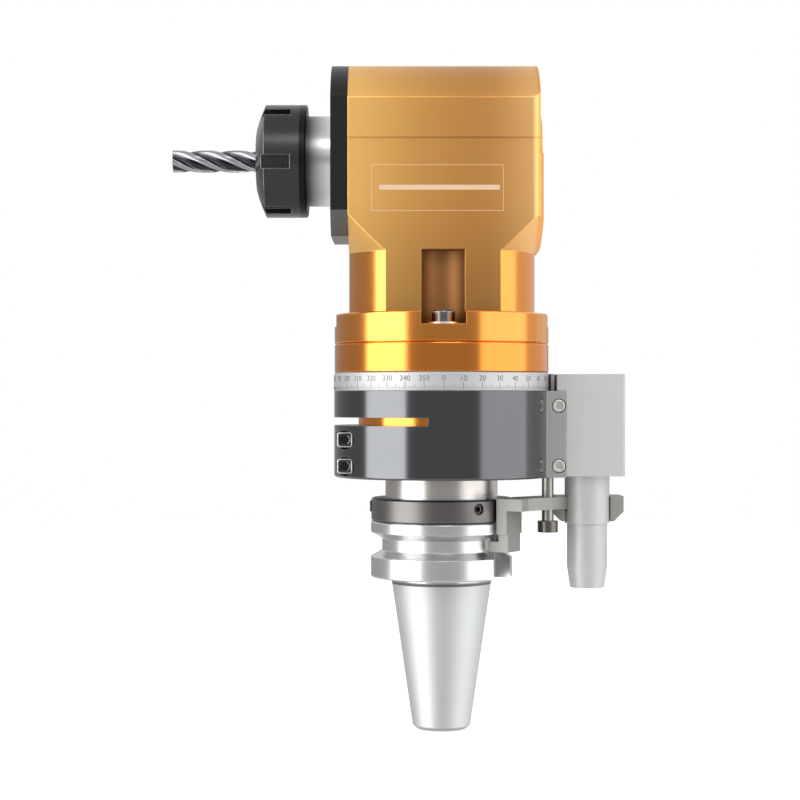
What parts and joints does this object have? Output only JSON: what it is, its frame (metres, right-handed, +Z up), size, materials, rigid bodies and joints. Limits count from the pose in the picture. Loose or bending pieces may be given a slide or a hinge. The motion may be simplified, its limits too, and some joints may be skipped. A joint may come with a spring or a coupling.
{
  "type": "right-angle milling head",
  "caption": "Right-angle milling head: taper shank, clamp ring with sprung locating pin, turnable gold head with bevel gears, collet nut and end mill.",
  "frame": {"origin": "centre of the shank taper's gauge plane, on the shank axis", "axes": "+Z up the shank axis from the taper into the head; -X along the tool axis towards the cutter tip; +X towards the locating pin"},
  "size_m": [0.2008, 0.096, 0.2944],
  "materials": {
    "ring_steel": "dark grey, fine turned",
    "dial_silver": "satin silver",
    "screw_black": "black oxide",
    "block_grey": "matt blasted",
    "spring_steel": "drawn wire",
    "pin_steel": "matt nickel plated",
    "lever_grey": "matt grey",
    "gold_anodised": "gold anodised, satin",
    "cover_black": "black anodised",
    "screw_bright": "zinc plated",
    "seal_rubber": "matt",
    "shank_steel": "ground, bright",
    "collar_brown": "dark, turned",
    "gear_steel": "cut and hardened",
    "bearing_steel": "polished",
    "nut_black": "black oxide, satin",
    "cutter_steel": "ground, dark coated"
  },
  "bodies": {
    "ring": {"clamp_ring": "ring_steel", "index_plate": "ring_steel", "clamp_screws": "screw_black", "stop_block": "block_grey", "block_screws": "screw_bright", "spring_plug": "block_grey", "plunger_spring": "spring_steel", "guide_screw": "screw_bright"},
    "lock": {"lock_plunger": "pin_steel", "lock_lever": "lever_grey", "lever_screw": "screw_bright"},
    "head": {"base_ring": "gold_anodised", "degree_ring": "dial_silver", "head_housing": "gold_anodised", "flange_bolts": "screw_bright", "front_cover": "cover_black", "front_cover_screws": "screw_black", "front_spacer": "bearing_steel", "front_seal": "seal_rubber", "rear_cap": "gold_anodised", "rear_cap_screws": "screw_black", "seal_cover": "ring_steel", "seal_cover_screws": "screw_black", "lower_seal": "seal_rubber", "lower_outer_ring": "bearing_steel", "upper_outer_ring": "bearing_steel", "front_outer_rings": "bearing_steel", "rear_outer_ring": "bearing_steel"},
    "shank": {"taper_shank": "shank_steel", "index_collar": "collar_brown", "collar_screws": "screw_black", "drive_key": "gear_steel", "drive_gear": "gear_steel", "gear_screw": "screw_black", "shaft_nut": "gear_steel", "lower_inner_ring": "bearing_steel", "upper_inner_ring": "bearing_steel"},
    "spindle": {"tool_spindle": "shank_steel", "driven_key": "gear_steel", "driven_gear": "gear_steel", "gear_nut": "gear_steel", "retaining_ring": "spring_steel", "collet": "shank_steel", "front_inner_rings": "bearing_steel", "rear_inner_ring": "bearing_steel"},
    "nut": {"collet_nut": "nut_black"},
    "cutter": {"end_mill": "cutter_steel"},
    "lower_cage": {"lower_balls": "bearing_steel"},
    "upper_cage": {"upper_balls": "bearing_steel"},
    "front_cage": {"front_balls": "bearing_steel"},
    "rear_cage": {"rear_balls": "bearing_steel"}
  },
  "joints": [
    {"name": "head_index", "type": "hinge", "parent": "ring", "child": "head", "pos_m": [0, 0, 0.0993], "axis": [0, 0, 1], "continuous": true},
    {"name": "shank_spin", "type": "hinge", "parent": "head", "child": "shank", "pos_m": [0, 0, 0], "axis": [0, 0, 1], "continuous": true},
    {"name": "tool_spin", "type": "hinge", "parent": "head", "child": "spindle", "pos_m": [0, 0, 0.187], "axis": [1, 0, 0], "continuous": true},
    {"name": "nut_turn", "type": "hinge", "parent": "spindle", "child": "nut", "pos_m": [-0.07, 0, 0.187], "axis": [-1, 0, 0], "range_deg": [0, 90]},
    {"name": "tool_slide", "type": "slide", "parent": "spindle", "child": "cutter", "axis": [-1, 0, 0], "range_m": [0, 0.035]},
    {"name": "lock_slide", "type": "slide", "parent": "ring", "child": "lock", "axis": [0, 0, 1], "range_m": [-0.005, 0], "stiffness_N_per_m": 3000, "springref_m": -0.012, "deforming": ["plunger_spring"]},
    {"name": "lower_cage_spin", "type": "hinge", "parent": "head", "child": "lower_cage", "pos_m": [0, 0, 0.063], "axis": [0, 0, 1], "continuous": true},
    {"name": "upper_cage_spin", "type": "hinge", "parent": "head", "child": "upper_cage", "pos_m": [0, 0, 0.1415], "axis": [0, 0, 1], "continuous": true},
    {"name": "front_cage_spin", "type": "hinge", "parent": "head", "child": "front_cage", "pos_m": [-0.0335, 0, 0.187], "axis": [1, 0, 0], "continuous": true},
    {"name": "rear_cage_spin", "type": "hinge", "parent": "head", "child": "rear_cage", "pos_m": [0.0305, 0, 0.187], "axis": [1, 0, 0], "continuous": true}
  ],
  "couplings": [
    {"joint": "tool_spin", "follows": "shank_spin", "ratio": -1},
    {"joint": "lower_cage_spin", "follows": "shank_spin", "ratio": 0.41928},
    {"joint": "upper_cage_spin", "follows": "shank_spin", "ratio": 0.43597},
    {"joint": "front_cage_spin", "follows": "shank_spin", "ratio": -0.45756},
    {"joint": "rear_cage_spin", "follows": "shank_spin", "ratio": -0.41979}
  ]
}
